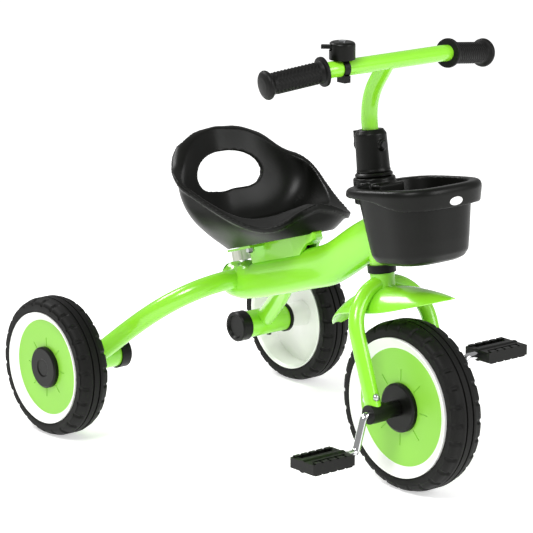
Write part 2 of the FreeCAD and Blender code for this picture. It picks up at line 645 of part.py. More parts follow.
def handlebar():
    """Bar, stem, collar with bolt, grips."""
    start, slant = bar_ends()
    half = num(G["handlebar_half"])
    pts = [bar_point(-half, 22.5), bar_point(-97, 0), bar_point(97, 0), bar_point(half, 22.5)]
    line = path_wire(pts, [45, 45])
    bar_solid = swept(line, num(G["bar_radius"]))
    plain("handlebar", bar_solid.cut(swept(line, num(G["bar_radius"] - G["tube_wall"]))))
    stem_line = stem_wire()
    bolt, nut = collar_bolt()
    stem = tube(stem_line, G["steerer_radius"], G["tube_wall"]).cut(bar_solid).cut(bolt)
    stem = sorted(stem.Solids, key=lambda s: s.Volume)[-1]
    plain("stem_tube", stem)
    c, low, high = G["collar_radius"], G["collar_low"], G["collar_high"]
    poly = [(G["steerer_radius"], low), (c + 0.6, low), (c + 0.6, low + 3), (c, low + 4), (c - 1, high - 6),
            (c - 5, high), (G["steerer_radius"], high)]
    body = turned("stem_collar_core", poly, (FOOT_X, 0, FOOT_Z), STEER_ROT)
    doc.recompute()
    core = body.Shape.copy()
    ear = Part.makeBox(9, 15, 24, V(-26.5, -7.5, 333))
    boss = Part.makeCylinder(7, 8, V(15.8, 0, 338), V(1, 0, 0))
    extras = ear.fuse(boss)
    extras = extras.cut(Part.makeCylinder(num(G["steerer_radius"]), 200, V(0, 0, 250), V(0, 0, 1)))
    extras.Placement = FreeCAD.Placement(FOOT, STEER_ROT)
    shape = one_solid(core.fuse(extras).cut(bolt).cut(nut).removeSplitter())
    doc.removeObject(body.Name)
    plain("stem_collar", shape)
    plain("collar_bolt", bolt)
    plain("collar_nut", nut)
    for side, hand in (("left", 1), ("right", -1)):
        grip(side, hand, start, slant)


def collar_bolt():
    """Through bolt of the collar with a domed head in front and a nut behind."""
    shank = rod(steer(-29, 0, 338), steer(25, 0, 338), 3.0)
    head = rod(steer(23.8, 0, 338), steer(26.6, 0, 338), 4.8)
    nut = hexagon(steer(-30.5, 0, 338), AXIS_U, 5.2, 4.0).cut(shank)
    return one_solid(shank.fuse(head).removeSplitter()), one_solid(nut)


def grip(side, hand, start, slant):
    """Rubber grip over one handlebar end."""
    way = V(slant.x, hand * slant.y, slant.z)
    base = V(start.x, hand * start.y, start.z)
    rot = FreeCAD.Rotation(V(0, 0, 1), way)
    g, f, b = G["grip_radius"], G["grip_flange_radius"], G["bar_radius"]
    end = bar_point(num(G["handlebar_half"]), 22.5).sub(start).Length
    poly = [(b, 9), (f - 1, 9), (f, 10.5), (f, 12.5), (f - 1, 14), (g + 0.6, 15), (g, 18), (g - 0.4, 50), (g, end - 6),
            (g + 2, end - 4), (f - 1, end - 2), (f - 0.4, end + 1), (f - 2.5, end + 4.5), (f - 8, end + 7),
            (0, end + 7.8), (0, end), (b, end)]
    turned("grip_" + side, poly, (base.x, base.y, base.z), rot)


def bell():
    """Clamp, dome, lever and screw of the bell on the right of the bar."""
    y = -num(G["bell_station"])
    mid = bar_point(y, 0)
    r = num(G["bar_radius"])
    up = V(0, 0, 1)
    bar = rod(mid + V(0, -12, 0), mid + V(0, 12, 0), r)
    band = rod(mid + V(0, -4.5, 0), mid + V(0, 4.5, 0), r + 2.0)
    block = Part.makeBox(15, 10, 9, V(mid.x - 4, mid.y - 5, mid.z - r - 7))
    plate = rod(mid + up * (r + 0.8), mid + up * (r + 3.0), 13.5)
    pin_low = rod(mid + up * (r + 2.0), mid + up * (r + 0.8 + num(G["bell_height"]) - 1.6), 2.5)
    clamp = band.fuse(block).fuse(plate).fuse(pin_low).cut(bar)
    plain("bell_clamp", one_solid(clamp.removeSplitter()))
    base = mid + up * (r + 0.8)
    h, rr = num(G["bell_height"]), num(G["bell_radius"])
    outer = Part.makeCylinder(rr, h, base)
    outer = outer.makeFillet(4.5, [e for e in outer.Edges if abs(e.CenterOfMass.z - base.z - h) < 0.01
                                   and e.Closed and len(e.Vertexes) == 1][:1])
    inner = Part.makeCylinder(rr - 1.6, h - 1.6, base)
    dome = outer.cut(inner).cut(rod(base, base + up * (h + 3), 2.5))
    window = Part.makeBox(rr + 4, 17, 8, V(base.x - rr - 4, base.y - 8.5, base.z + h - 11))
    window.rotate(base, up, 57)
    dome = dome.cut(window)
    plain("bell_dome", one_solid(dome))
    screw = rod(base + up * (h - 1.8), base + up * (h + 1.2), 2.5).fuse(
        rod(base + up * h, base + up * (h + 1.6), 4.6))
    screw = screw.cut(pin_low)
    plain("bell_screw", one_solid(screw.removeSplitter()))
    lever_z = base + up * (h - 9.5)
    hub = rod(lever_z, lever_z + up * 5, 6.0)
    arm = Part.makeBox(rr + 10, 8, 5, V(lever_z.x - rr - 10, lever_z.y - 4, lever_z.z))
    arm.rotate(lever_z, up, 45)
    lever = hub.fuse(arm).cut(rod(lever_z - up * 9, lever_z + up * 20, 2.5 + num(G["run_gap"])))
    plain("bell_lever", one_solid(lever.removeSplitter()))
    bell_spacer(lever_z, up, base)


def bell_spacer(lever_z, up, base):
    """Spacer on the pin that carries the lever at its height."""
    ring = rod(base + up * 2.2, lever_z - up * num(G["side_gap"]), 5.0).cut(rod(base - up * 5, lever_z, 2.5))
    plain("bell_spacer", ring)


# ------------------------------------------------------------------ seat
def seat_loop(level, back, front, wide, blend, shrink):
    """Closed outline of the seat shell at one level, between a front-heavy and a rear-heavy shape."""
    span = front - back
    along = [0.0, 0.03, 0.07, 0.13, 0.24, 0.34, 0.48, 0.62, 0.76, 0.88, 0.96, 1.0]
    high = [0.0, 0.38, 0.66, 0.88, 1.0, 0.99, 0.955, 0.90, 0.80, 0.65, 0.42, 0.0]
    low = [0.0, 0.42, 0.64, 0.76, 0.84, 0.88, 0.94, 0.99, 1.0, 0.90, 0.62, 0.0]
    half = [(a, blend * h + (1 - blend) * g) for a, h, g in zip(along, high, low)]
    pts = []
    for a, b in half:
        t = back + shrink + a * (span - 2 * shrink)
        pts.append((t, b * (wide - shrink)))
    return spline_loop(loop_points(pts, seat, level))


def between(table, x):
    """Value at x on straight lines through the table's points."""
    if x <= table[0][0]:
        return table[0][1]
    for (x0, y0), (x1, y1) in zip(table[:-1], table[1:]):
        if x <= x1:
            return y0 + (y1 - y0) * (x - x0) / (x1 - x0)
    return table[-1][1]


def eased(x, start, end):
    """Zero before start, one after end, smooth between."""
    k = min(1.0, max(0.0, (x - start) / (end - start)))
    return k * k * (3 - 2 * k)


def seat_trim():
    """Material kept below one flowing surface that carries the rim line."""
    side = [(-30, 143), (-14, 138), (8, 118), (26, 103), (47, 84), (75, 61), (99, 46), (122, 37), (136, 35)]
    rear = [(0, 45), (38, 42), (72, 29), (101, 0), (112, -23), (150, -43)]
    horn = [(0, 20.6), (25, 16), (48, 7), (66, 0), (80, -1)]
    rows = []
    for i in range(22):
        t = -75 + 12.0 * i
        row = []
        for k in range(-10, 11):
            y = 15.0 * k
            n = between(side, t) + (1 - eased(t, -38, -4)) * between(rear, abs(y))
            row.append(seat(t, y, n + eased(t, 80, 118) * between(horn, abs(y))))
        rows.append(row)
    skin = Part.BSplineSurface()
    skin.interpolate(rows)
    return skin.toShape().extrude(SEAT_N * -340.0)


def slab(curve_pts, low_a, low_b, sweep):
    """Prism bounded above by a smooth curve."""
    curve = Part.BSplineCurve()
    curve.interpolate(curve_pts)
    wire = Part.Wire([curve.toShape(), Part.makeLine(curve_pts[-1], low_b), Part.makeLine(low_b, low_a),
                      Part.makeLine(low_a, curve_pts[0])])
    return Part.Face(wire).extrude(sweep)


def seat_lip(inner, trim, wide, top):
    """Thicker outward lip that follows the rim line."""
    rows = [(24, -36, 146, 0.64, 0.0), (36, -37, 148, 0.76, 0.1), (60, -41, 149, 0.93, 0.6),
            (85, -43, 150, 1.0, 1.0), (120, -44, 150, 1.035, 1.0), (top + 6, -42, 150, 1.05, 1.0)]
    fat = Part.makeLoft([seat_loop(n, a, b, wide * k, m, 0) for n, a, b, k, m in rows], True, False)
    lowered = trim.copy()
    lowered.translate(SEAT_N * -9.0)
    return one_solid(fat.cut(inner).common(trim).cut(lowered))


def seat_shell():
    """Moulded seat with backrest opening, pan, underside hollow and screw bosses."""
    wide, top, wall = num(G["seat_half_width"]), num(G["seat_back_height"]), num(G["seat_wall"])
    rows = [(17, -32, 136, 0.46, 0.0), (24, -33, 141, 0.56, 0.0), (36, -34, 144, 0.725, 0.1), (60, -37, 145, 0.90, 0.6),
            (85, -39, 146, 0.968, 1.0), (120, -40, 146, 1.0, 1.0), (top + 6, -38, 146, 1.015, 1.0)]
    outer = Part.makeLoft([seat_loop(n, a, b, wide * k, m, 0) for n, a, b, k, m in rows], True, False)
    inner_rows = [(50.5, -20, 112, 0.62, 0.5), (62, -34, 132, 0.86, 0.6), (85, -39, 144, 0.968, 1.0),
                  (120, -40, 146, 1.0, 1.0), (top + 12, -38, 146, 1.015, 1.0)]
    inner = Part.makeLoft([seat_loop(n, a, b, wide * k, m, wall) for n, a, b, k, m in inner_rows], True, False)
    under_rows = [(16, -32, 136, 0.46, 0.0), (22, -33, 132, 0.50, 0.0), (29, -33, 120, 0.60, 0.1),
                  (40, -22, 92, 0.60, 0.5)]
    under = Part.makeLoft([seat_loop(n, a, b, wide * k, m, wall) for n, a, b, k, m in under_rows], True, False)
    hole_pts = [(0, 98.5), (28, 99.5), (47, 104), (55, 116), (52, 131), (38, 144), (18, 151), (0, 152.5)]
    loop = [seat(-70, y, n) for y, n in hole_pts] + [seat(-70, -y, n) for y, n in reversed(hole_pts[1:-1])]
    hole = Part.Face(spline_loop(loop)).extrude(SEAT_T * 66.0)
    trim = seat_trim()
    shell = one_solid(outer.cut(inner).common(trim))
    shell = shell.fuse(seat_lip(inner, trim, wide, top))
    shell = one_solid(shell.cut(under).cut(hole).cut(plate_box(-56, -8, -9.5, 9.5, 15, 22)))
    for hand in (-1, 1):
        boss = rod(seat(30.4, hand * 34.5, 17), seat(30.4, hand * 34.5, 51), 8.0)
        shell = shell.fuse(boss)
        shell = shell.cut(rod(seat(30.4, hand * 34.5, 10), seat(30.4, hand * 34.5, 70), 3.0))
    return one_solid(shell)


def seat_parts():
    """Seat shell, bracket, bolts, nuts and knob."""
    bracket = seat_bracket()
    shell = seat_shell().cut(bracket)
    plain("seat_shell", one_solid(shell))
    bolts, nuts = [], []
    for hand in (-1, 1):
        y = hand * 34.5
        bracket = bracket.cut(rod(seat(30.4, y, 5), seat(30.4, y, 25), 3.0))
        bolts.append(rod(seat(30.4, y, 7), seat(30.4, y, 51), 3.0).fuse(
            rod(seat(30.4, y, 50.6), seat(30.4, y, 53.4), 6.2)).cut(shell))
        nut = hexagon(seat(30.4, y, 8.5), SEAT_N, 5.8, 5.0).cut(rod(seat(30.4, y, 0), seat(30.4, y, 30), 3.0))
        nuts.append(nut)
    plain("seat_bracket", one_solid(bracket))
    plain("seat_bolts", Part.makeCompound([one_solid(b) for b in bolts]))
    plain("seat_nuts", Part.makeCompound([one_solid(n) for n in nuts]))
    knob = rod(seat(-30, 0, -0.9), seat(-30, 0, 12.8), 15.2)
    for k in range(6):
        a = math.radians(60 * k)
        lobe = rod(seat(-30 + 12.6 * math.cos(a), 12.6 * math.sin(a), -0.9),
                   seat(-30 + 12.6 * math.cos(a), 12.6 * math.sin(a), 12.8), 4.4)
        knob = knob.fuse(lobe)
    knob = knob.cut(rod(seat(-30, 0, -5), seat(-30, 0, 20), 4.0 + num(G["run_gap"])))
    plain("seat_knob", one_solid(knob.removeSplitter()))


def seat_bracket():
    """Green saddle that slides on the pad and carries the seat."""
    low, foot = num(G["pad_top"] + G["slide_gap"]), -8.0
    side = [(2, foot), (2, 14), (6, 17), (100, 17), (107, 18.5), (114, 21), (121, 22.5), (129, 22.5), (136, 20),
            (140, 16), (139, 11), (133, 7.5), (124, 5), (116, -2), (110, foot)]
    plan = [(2, 14), (8, 17.5), (40, 18.6), (100, 17), (114, 15), (126, 12.5), (136, 9), (140, 5)]
    ring = [seat(t, -30, n) for t, n in side]
    half = num(G["pad_half_width"] + G["side_gap"])
    body = Part.Face(Part.makePolygon(ring + ring[:1])).extrude(V(0, 60, 0))
    loop = [seat(t, y, -12) for t, y in plan] + [seat(t, -y, -12) for t, y in reversed(plan)]
    body = body.common(Part.Face(Part.makePolygon(loop + loop[:1])).extrude(SEAT_N * 46.0))
    body = body.cut(plate_box(-10, 160, -half, half, -14, low))
    fat_beam = beam_loft(-num(G["side_gap"]) - 0.05, 0)
    for shift in (-SEAT_TRAVEL, 0, SEAT_TRAVEL):
        moved = fat_beam.copy()
        moved.translate(SEAT_T * shift)
        body = body.cut(moved)
    tongue = plate_box(-46, 6, -15, 15, 13.0, 16.2)
    slot = plate_box(-43, -17, -4.3, 4.3, 10, 20)
    slot = slot.fuse(rod(seat(-43, 0, 10), seat(-43, 0, 20), 4.3)).fuse(rod(seat(-17, 0, 10), seat(-17, 0, 20), 4.3))
    cross = plate_box(18, 43, -44, 44, 13.5, 17.0)
    return one_solid(body.fuse(tongue).fuse(cross).cut(slot).removeSplitter())


def plate_box(t0, t1, y0, y1, n0, n1):
    """Box aligned with the sloping seat frame."""
    box = Part.makeBox(t1 - t0, y1 - y0, n1 - n0)
    box.Placement = FreeCAD.Placement(seat(t0, y0, n0), SEAT_ROT)
    return box


# ------------------------------------------------------------------ basket
def basket_loop(level, back, front, half, inset):
    """Rounded D outline of the basket at one level of the steering frame."""
    mid, length = (back + front) / 2.0, (front - back) / 2.0 - inset
    pts = []
    for k in range(28):
        a = 2 * math.pi * k / 28
        c, s = math.cos(a), math.sin(a)
        power = 0.72 if c > 0 else 0.5
        u = mid + length * math.copysign(abs(c) ** power, c)
        pts.append(steer(u, (half - inset) * math.copysign(abs(s) ** 0.66, s), level))
    return spline_loop(pts)


def basket():
    """Bucket basket with a rolled skirt and the socket ring round the head tube."""
    rim, deep, wall = num(G["basket_rim_level"]), num(G["basket_depth"]), num(G["basket_wall"])
    half = num(G["basket_half_width"])
    rows = [(-deep, 42, 119, 31), (4 - deep, 33, 128, 23.5), (12 - deep, 27, 134, 19.5), (30 - deep, 24, 137, 17.5),
            (0, 13, 146, 10.5)]
    outer = Part.makeLoft([basket_loop(rim + w, a, b, half - h, 0) for w, a, b, h in rows], True, True)
    rows = [(wall - deep, 42, 119, 31), (4 + wall - deep, 33, 128, 23.5), (12 + wall - deep, 27, 134, 19.5),
            (30 + wall - deep, 24, 137, 17.5), (3, 13, 146, 10.5)]
    inner = Part.makeLoft([basket_loop(rim + w, a, b, half - h, wall) for w, a, b, h in rows], True, True)
    lip_low = rim - 30
    skirt = Part.makeLoft([basket_loop(lip_low, 3, 154, half - 3, 0), basket_loop(rim - 8, -1, 158, half, 0),
                           basket_loop(rim - 3, 0, 157, half - 1, 0), basket_loop(rim, 3, 154, half - 4, 0)], True, True)
    hollow = Part.makeLoft([basket_loop(lip_low - 1, 3, 154, half - 3, wall),
                            basket_loop(rim - wall, 1, 156, half - 1, wall)], True, True)
    curve = [(-20, rim - 10), (10, rim - 11), (40, rim - 12), (70, rim - 14), (95, rim - 20), (118, rim - 26),
             (140, rim - 28), (180, rim - 28)]
    keep = slab([steer(u, -120, w) for u, w in curve], steer(-20, -120, rim + 20), steer(180, -120, rim + 20),
                V(0, 240, 0))
    lip = skirt.cut(hollow).common(keep)
    low, high = num(G["head_tube_high"]) - 34, num(G["head_tube_high"])
    ring = rod(steer(0, 0, low), steer(0, 0, high), HEAD_R + 12.5)
    bridge = Part.makeBox(26, 44, high - low - 10, V(8, -22, low + 2))
    bridge.Placement = FreeCAD.Placement(FOOT, STEER_ROT).multiply(bridge.Placement)
    shape = outer.fuse(lip).cut(inner).fuse(ring).fuse(bridge)
    shape = shape.cut(rod(steer(0, 0, 100), steer(0, 0, 400), HEAD_R))
    shape = shape.cut(rod(steer(0, 0, high - 0.01), steer(0, 0, 400), 30))
    plain("basket", one_solid(shape.removeSplitter()))


# ------------------------------------------------------------------ build, check, write
for name, hand_sign in (("left", 1), ("right", -1)):
    rear_wheel(name, hand_sign)
front_wheel()
spindles = crank()
pedal("pedal_right", spindles[0], -1)
pedal("pedal_left", spindles[1], 1)
frame()
fork()
handlebar()
bell()
seat_parts()
basket()
doc.recompute()

pieces = [o for o in doc.Objects if o.TypeId in ("PartDesign::Body", "Part::Feature")]
for obj in doc.Objects:
    if "Invalid" in obj.State or "Error" in obj.State:
        raise RuntimeError("object failed: " + obj.Label)
for obj in pieces:
    if obj.Shape.isNull() or not obj.Shape.isValid() or not obj.Shape.Solids:
        raise RuntimeError("bad shape: " + obj.Label)
    obj.Shape.exportStep("parts/" + obj.Label + ".step")
print("pieces", len(pieces))
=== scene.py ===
import json
import math

import bmesh
import bpy
import numpy as np
from mathutils import Matrix, Vector


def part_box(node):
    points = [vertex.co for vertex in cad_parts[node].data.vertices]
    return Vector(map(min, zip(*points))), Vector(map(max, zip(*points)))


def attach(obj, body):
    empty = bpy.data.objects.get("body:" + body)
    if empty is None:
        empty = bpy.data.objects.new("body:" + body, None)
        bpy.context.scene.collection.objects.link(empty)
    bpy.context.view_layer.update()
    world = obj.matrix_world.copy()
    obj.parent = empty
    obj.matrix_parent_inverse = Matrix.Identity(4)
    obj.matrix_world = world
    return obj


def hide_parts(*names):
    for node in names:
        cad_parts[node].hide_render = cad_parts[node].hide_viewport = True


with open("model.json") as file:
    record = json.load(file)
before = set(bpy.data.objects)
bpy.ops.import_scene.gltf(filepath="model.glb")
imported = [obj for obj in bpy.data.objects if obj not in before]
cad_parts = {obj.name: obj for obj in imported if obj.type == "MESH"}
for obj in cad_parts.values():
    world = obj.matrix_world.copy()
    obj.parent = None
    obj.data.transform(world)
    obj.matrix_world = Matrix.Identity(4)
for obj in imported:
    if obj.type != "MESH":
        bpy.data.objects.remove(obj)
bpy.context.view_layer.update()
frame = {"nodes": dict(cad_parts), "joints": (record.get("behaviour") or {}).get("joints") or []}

bl_info = {
    "name": "Children's tricycle",
    "version": (1, 0, 0),
    "blender": (4, 5, 0),
    "location": "View3D > Sidebar > Tricycle",
    "description": "Treads, grips, label and finishes for a small pedal tricycle",
    "category": "Object",
}

MM = 0.001
JOINTS = {j["name"]: j for j in frame["joints"]}
NODES = frame["nodes"]

# place (m), side (m) and power (W) of each lamp
LAMPS = {"key_light": ((0.9, -1.8, 2.5), 1.0, 58.0),
         "fill_light": ((2.4, 0.9, 1.5), 1.2, 30.0),
         "back_light": ((-1.7, -0.6, 2.0), 0.9, 34.0)}
LAMP_TARGET = (0, 0, 0.25)
SKY_LIGHT, SKY_SEEN = 0.42, 1.0
FLOOR_HALF_SIDE, FLOOR_DROP = 8.0, 0.3 * MM
CAMERA_PLACE = (3.1082, -2.6108, 1.2794)
CAMERA_AZIMUTH, CAMERA_ELEVATION, CAMERA_ROLL = 50.52, 14.18, 0.18
CAMERA_LENS, CAMERA_SENSOR = 208.1, 36.0

# the label's centre below the basket's rim and behind its front, and its half sizes
LABEL_BELOW_RIM, LABEL_BEHIND_FRONT = 19.9 * MM, 0.5 * MM
LABEL_REACH = (9.0 * MM, 11.0 * MM, 5.6 * MM)

# where a grip starts out from the middle, and how its axis runs back, out and down
GRIP_START = 97 * MM
GRIP_BACK, GRIP_OUT, GRIP_DOWN = 19.035, 89.0, 11.97
BAR_RADIUS = 10.8 * MM

# spacing of points round a tyre's section, and along its tread
SECTION_STEP = 2.4 * MM
STEPS_PER_NOTCH = 20


# ---------------------------------------------------------------- colours
def linear(code):
    """Linear colour of an sRGB hex value."""
    parts = [int(code[i:i + 2], 16) / 255 for i in (1, 3, 5)]
    return tuple(c / 12.92 if c <= 0.04045 else ((c + 0.055) / 1.055) ** 2.4 for c in parts)


def colour_property(name, description, code):
    return bpy.props.FloatVectorProperty(name=name, description=description, subtype="COLOR", size=3,
                                         min=0, max=1, default=linear(code))


def length_property(name, description, value):
    return bpy.props.FloatProperty(name=name, description=description, default=value, min=0, unit="LENGTH",
                                   precision=4)


class TricycleFinish(bpy.types.PropertyGroup):
    """Colours of the tricycle."""
    paint: colour_property("Paint", "Gloss enamel of the steel frame", "#8ADA2C")
    disc: colour_property("Wheel disc", "Moulded green wheel discs", "#86C83C")
    rim: colour_property("Rim", "White moulded rims", "#F2F3EF")
    plastic: colour_property("Black plastic", "Seat, basket and caps", "#0A0B08")
    foam: colour_property("Tyre", "Foam tyres", "#0B0B09")
    rubber: colour_property("Grip", "Hand grips", "#0C0C0B")
    pearl: colour_property("Knob", "Seat clamp knob", "#D9D8CE")


class TricycleSizes(bpy.types.PropertyGroup):
    """Sizes of the moulded details."""
    notch_depth: length_property("Notch depth", "Depth of the notches in the tyre shoulders", 2.2 * MM)
    front_notches: bpy.props.IntProperty(name="Front notches", description="Notches round the front tyre",
                                         default=28, min=4, max=80)
    rear_notches: bpy.props.IntProperty(name="Rear notches", description="Notches round each rear tyre",
                                        default=26, min=4, max=80)
    knurl_depth: length_property("Knurl depth", "Height of the chevrons on the grips", 0.7 * MM)
    knurl_pitch: length_property("Knurl pitch", "Spacing of the chevrons on the grips", 5.0 * MM)


# ---------------------------------------------------------------- meshes
def grid_mesh(name, points, closed_u, closed_v, smooth_angle=38.0):
    """Mesh of a grid of points, closed along either direction where asked, with poles merged."""
    nu, nv = points.shape[:2]
    iu = np.arange(nu if closed_u else nu - 1)
    iv = np.arange(nv if closed_v else nv - 1)
    a, b = np.meshgrid(iu, iv, indexing="ij")
    c, d = (a + 1) % nu, (b + 1) % nv
    faces = np.stack([a * nv + b, c * nv + b, c * nv + d, a * nv + d], -1).reshape(-1, 4)
    mesh = bpy.data.meshes.new(name)
    mesh.from_pydata(points.reshape(-1, 3).tolist(), [], faces.tolist())
    shell = bmesh.new()
    shell.from_mesh(mesh)
    bmesh.ops.remove_doubles(shell, verts=shell.verts, dist=1e-6)
    bmesh.ops.recalc_face_normals(shell, faces=shell.faces)
    shell.to_mesh(mesh)
    shell.free()
    mesh.shade_smooth()
    mesh.set_sharp_from_angle(angle=math.radians(smooth_angle))
    return mesh


def add_piece(name, mesh, body, finish, replaced=None):
    """Object at the origin that rides on a body and may stand for a CAD node."""
    piece = bpy.data.objects.new(name, mesh)
    bpy.context.scene.collection.objects.link(piece)
    mesh.materials.append(finish)
    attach(piece, body)
    if replaced:
        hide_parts(replaced)
    return piece


def densify(corners, step):
    """Points along a closed polygon no further apart than step, corners kept."""
    loop = np.vstack([corners, corners[:1]])
    rows = []
    for start, end in zip(loop[:-1], loop[1:]):
        count = max(1, int(math.ceil(np.linalg.norm(end - start) / step)))
        rows.append(start + (end - start) * (np.arange(count) / count)[:, None])
    return np.vstack(rows)


def tyre_mesh(name, centre, outer, inner, width, notches, notch_depth):
    """The tyre section swept round the axle; the radius drops by a notch where the shoulder meets a gap.

    x = cx + r sin t, y = cy + w, z = cz + r cos t, with r lowered by depth * shoulder(w) * gap(t).
    """
    h, o, i, groove = width / 2 / MM, outer / MM, inner / MM, 2.6
    bead = [(i, h - 2), (i + 1.2, h - 0.9), (i + 5, h), (i + 11, h)]
    wall = [(o - 9, h - 0.6), (o - 6, h - 1.6), (o - 3.8, h - 3.4), (o - 2.2, h - 6.5), (o - 1, 13)]
    tread = [(o - 0.3, 11), (o, 10), (o, 6.7), (o - 0.3, 6.4), (o - groove, 6.3), (o - groove, 4.3),
             (o - 0.3, 4.2), (o, 3.9)]
    half = np.array(bead + wall + tread) * MM
    corners = np.vstack([half * [1, -1], half[::-1]])
    section = densify(corners, SECTION_STEP)
    turns = notches * STEPS_PER_NOTCH
    angle = 2 * np.pi * np.arange(turns) / turns
    phase = (angle * notches / (2 * np.pi)) % 1.0
    gap = np.clip((np.cos(2 * np.pi * phase) - 0.72) / 0.16, 0, 1)
    outward = np.clip((np.abs(section[:, 1]) - 12.2 * MM) / (0.8 * MM), 0, 1)
    near_tread = np.clip((section[:, 0] - outer + 13 * MM) / (2 * MM), 0, 1)
    shoulder = outward * near_tread
    radius = section[None, :, 0] - notch_depth * gap[:, None] * shoulder[None, :]
    points = np.empty((turns, len(section), 3))
    points[..., 0] = centre[0] + radius * np.sin(angle)[:, None]
    points[..., 1] = centre[1] + section[None, :, 1]
    points[..., 2] = centre[2] + radius * np.cos(angle)[:, None]
    return grid_mesh(name, points, True, True, 32.0)


def grip_mesh(name, start, way, bar_radius, knurl_depth, knurl_pitch):
    """A profile turned about the grip's axis, raised by chevrons on its middle.

    p = start + way z + (side cos t + over sin t)(r(z) + depth * wave(t, z)).
    """
    b, g, f, end = bar_radius / MM, 14.5, 19.5, 91.8
    bore = [(0, end - 0.2), (b, end - 0.2), (b, 9)]
    flange = [(f - 1.2, 9), (f - 0.3, 9.4), (f, 10.4), (f, 12.6), (f - 0.3, 13.6), (f - 1.2, 14)]
    middle = [(g + 1, 14.6), (g + 0.1, 16.4), (g - 0.8, 19), (g - 0.8, 82), (g, end - 6)]
    cap = [(g + 1.4, end - 4.4), (f - 1.6, end - 2.6), (f - 0.7, end - 1), (f - 0.4, end + 1),
           (f - 1.2, end + 3), (f - 3.2, end + 4.8), (f - 8, end + 6.7), (5, end + 7.5), (0, end + 7.7)]
    corners = np.array(bore + flange + middle + cap) * MM
    rows = [corners[:1]]
    for low, high in zip(corners[:-1], corners[1:]):
        count = max(1, int(math.ceil(np.linalg.norm(high - low) / (0.9 * MM))))
        rows.append(low + (high - low) * (np.arange(1, count + 1) / count)[:, None])
    profile = np.vstack(rows)
    turns = 144
    angle = 2 * np.pi * np.arange(turns) / turns
    run, radius = profile[:, 1], profile[:, 0]
    on_skin = (radius > (g - 1.2) * MM) & (radius < (g - 0.4) * MM)
    on_grip = on_skin & (run > 21 * MM) & (run < 81 * MM)
    fold = np.abs(((angle * 6 / (2 * np.pi)) % 1.0) - 0.5) * 2
    wave = np.cos(2 * np.pi * (run[None, :] / knurl_pitch + fold[:, None]))
    lift = np.clip(wave * 1.6 + 0.2, 0, 1) * knurl_depth * on_grip[None, :]
    side = np.cross(way, [0, 0, 1.0])
    side /= np.linalg.norm(side)
    over = np.cross(side, way)
    spoke = np.cos(angle)[:, None] * side + np.sin(angle)[:, None] * over
    size = radius[None, :] + lift
    points = start + run[None, :, None] * way + spoke[:, None, :] * size[..., None]
    return grid_mesh(name, points, True, False, 40.0)


# ---------------------------------------------------------------- materials
def add_node(tree, kind, values=None, wires=None, **settings):
    """Shader node with its settings, socket values and incoming links."""
    new = tree.nodes.new(kind)
    for key, value in settings.items():
        setattr(new, key, value)
    for key, value in (values or {}).items():
        new.inputs[key].default_value = value
    for key, (source, output) in (wires or {}).items():
        tree.links.new(source.outputs[output], new.inputs[key])
    return new


def surface_finish(name, colour, roughness, grain_mm, grain_depth_mm, spread=0.06, shade=0.9, cloud_mm=45.0,
                   scuff=0.0, **sockets):
    """Principled surface: fine grain as bump, slow drift in colour and gloss, paler scuffs where asked."""
    made = bpy.data.materials.new(name)
    made.use_nodes = True
    tree = made.node_tree
    tree.nodes.clear()
    place = add_node(tree, "ShaderNodeTexCoord")
    cloud = add_node(tree, "ShaderNodeTexNoise", {"Scale": 1000 / cloud_mm, "Detail": 3.0},
                     {"Vector": (place, "Object")})
    grain = add_node(tree, "ShaderNodeTexNoise", {"Scale": 1000 / grain_mm, "Detail": 2.0},
                     {"Vector": (place, "Object")})
    full = tuple(colour) + (1.0,)
    dark = tuple(c * shade for c in colour) + (1.0,)
    tint = add_node(tree, "ShaderNodeMix", {6: dark, 7: full}, {0: (cloud, "Fac")}, data_type="RGBA")
    if scuff > 0:
        worn = add_node(tree, "ShaderNodeTexNoise", {"Scale": 1000 / 7.0, "Detail": 6.0, "Roughness": 0.75},
                        {"Vector": (place, "Object")})
        patch = add_node(tree, "ShaderNodeMapRange", {"From Min": 0.62, "From Max": 0.74, "To Max": scuff},
                         {"Value": (worn, "Fac")})
        worn_tint = tuple(min(1.0, c * 1.6 + 0.006) for c in colour) + (1.0,)
        tint = add_node(tree, "ShaderNodeMix", {7: worn_tint}, {0: (patch, "Result"), 6: (tint, 2)},
                        data_type="RGBA")
    gloss = add_node(tree, "ShaderNodeMapRange",
                     {"To Min": max(0.02, roughness - spread), "To Max": roughness + spread},
                     {"Value": (cloud, "Fac")})
    bump = add_node(tree, "ShaderNodeBump", {"Strength": 1.0, "Distance": grain_depth_mm * MM},
                    {"Height": (grain, "Fac")})
    shader = add_node(tree, "ShaderNodeBsdfPrincipled", sockets,
                      {"Roughness": (gloss, "Result"), "Normal": (bump, "Normal")})
    tree.links.new(tint.outputs[2], shader.inputs["Base Color"])
    add_node(tree, "ShaderNodeOutputMaterial", None, {"Surface": (shader, "BSDF")})
    return made


def add_blank_label(made, centre, reach, colour):
    """Paints a blank oval label: the label's colour inside the ellipsoid |(p - centre) / reach| = 1."""
    tree = made.node_tree
    shader = next(node for node in tree.nodes if node.type == "BSDF_PRINCIPLED")
    under = shader.inputs["Base Color"].links[0].from_node
    place = add_node(tree, "ShaderNodeTexCoord")
    shift = add_node(tree, "ShaderNodeVectorMath", {1: centre}, {0: (place, "Object")}, operation="SUBTRACT")
    scale = add_node(tree, "ShaderNodeVectorMath", {1: [1 / r for r in reach]}, {0: (shift, "Vector")},
                     operation="MULTIPLY")
    length = add_node(tree, "ShaderNodeVectorMath", None, {0: (scale, "Vector")}, operation="LENGTH")
    edge = add_node(tree, "ShaderNodeMapRange", {"From Min": 1.0, "From Max": 0.97},
                    {"Value": (length, "Value")})
    tint = add_node(tree, "ShaderNodeMix", {7: tuple(colour) + (1.0,)}, {0: (edge, "Result"), 6: (under, 2)},
                    data_type="RGBA")
    tree.links.new(tint.outputs[2], shader.inputs["Base Color"])
    return made


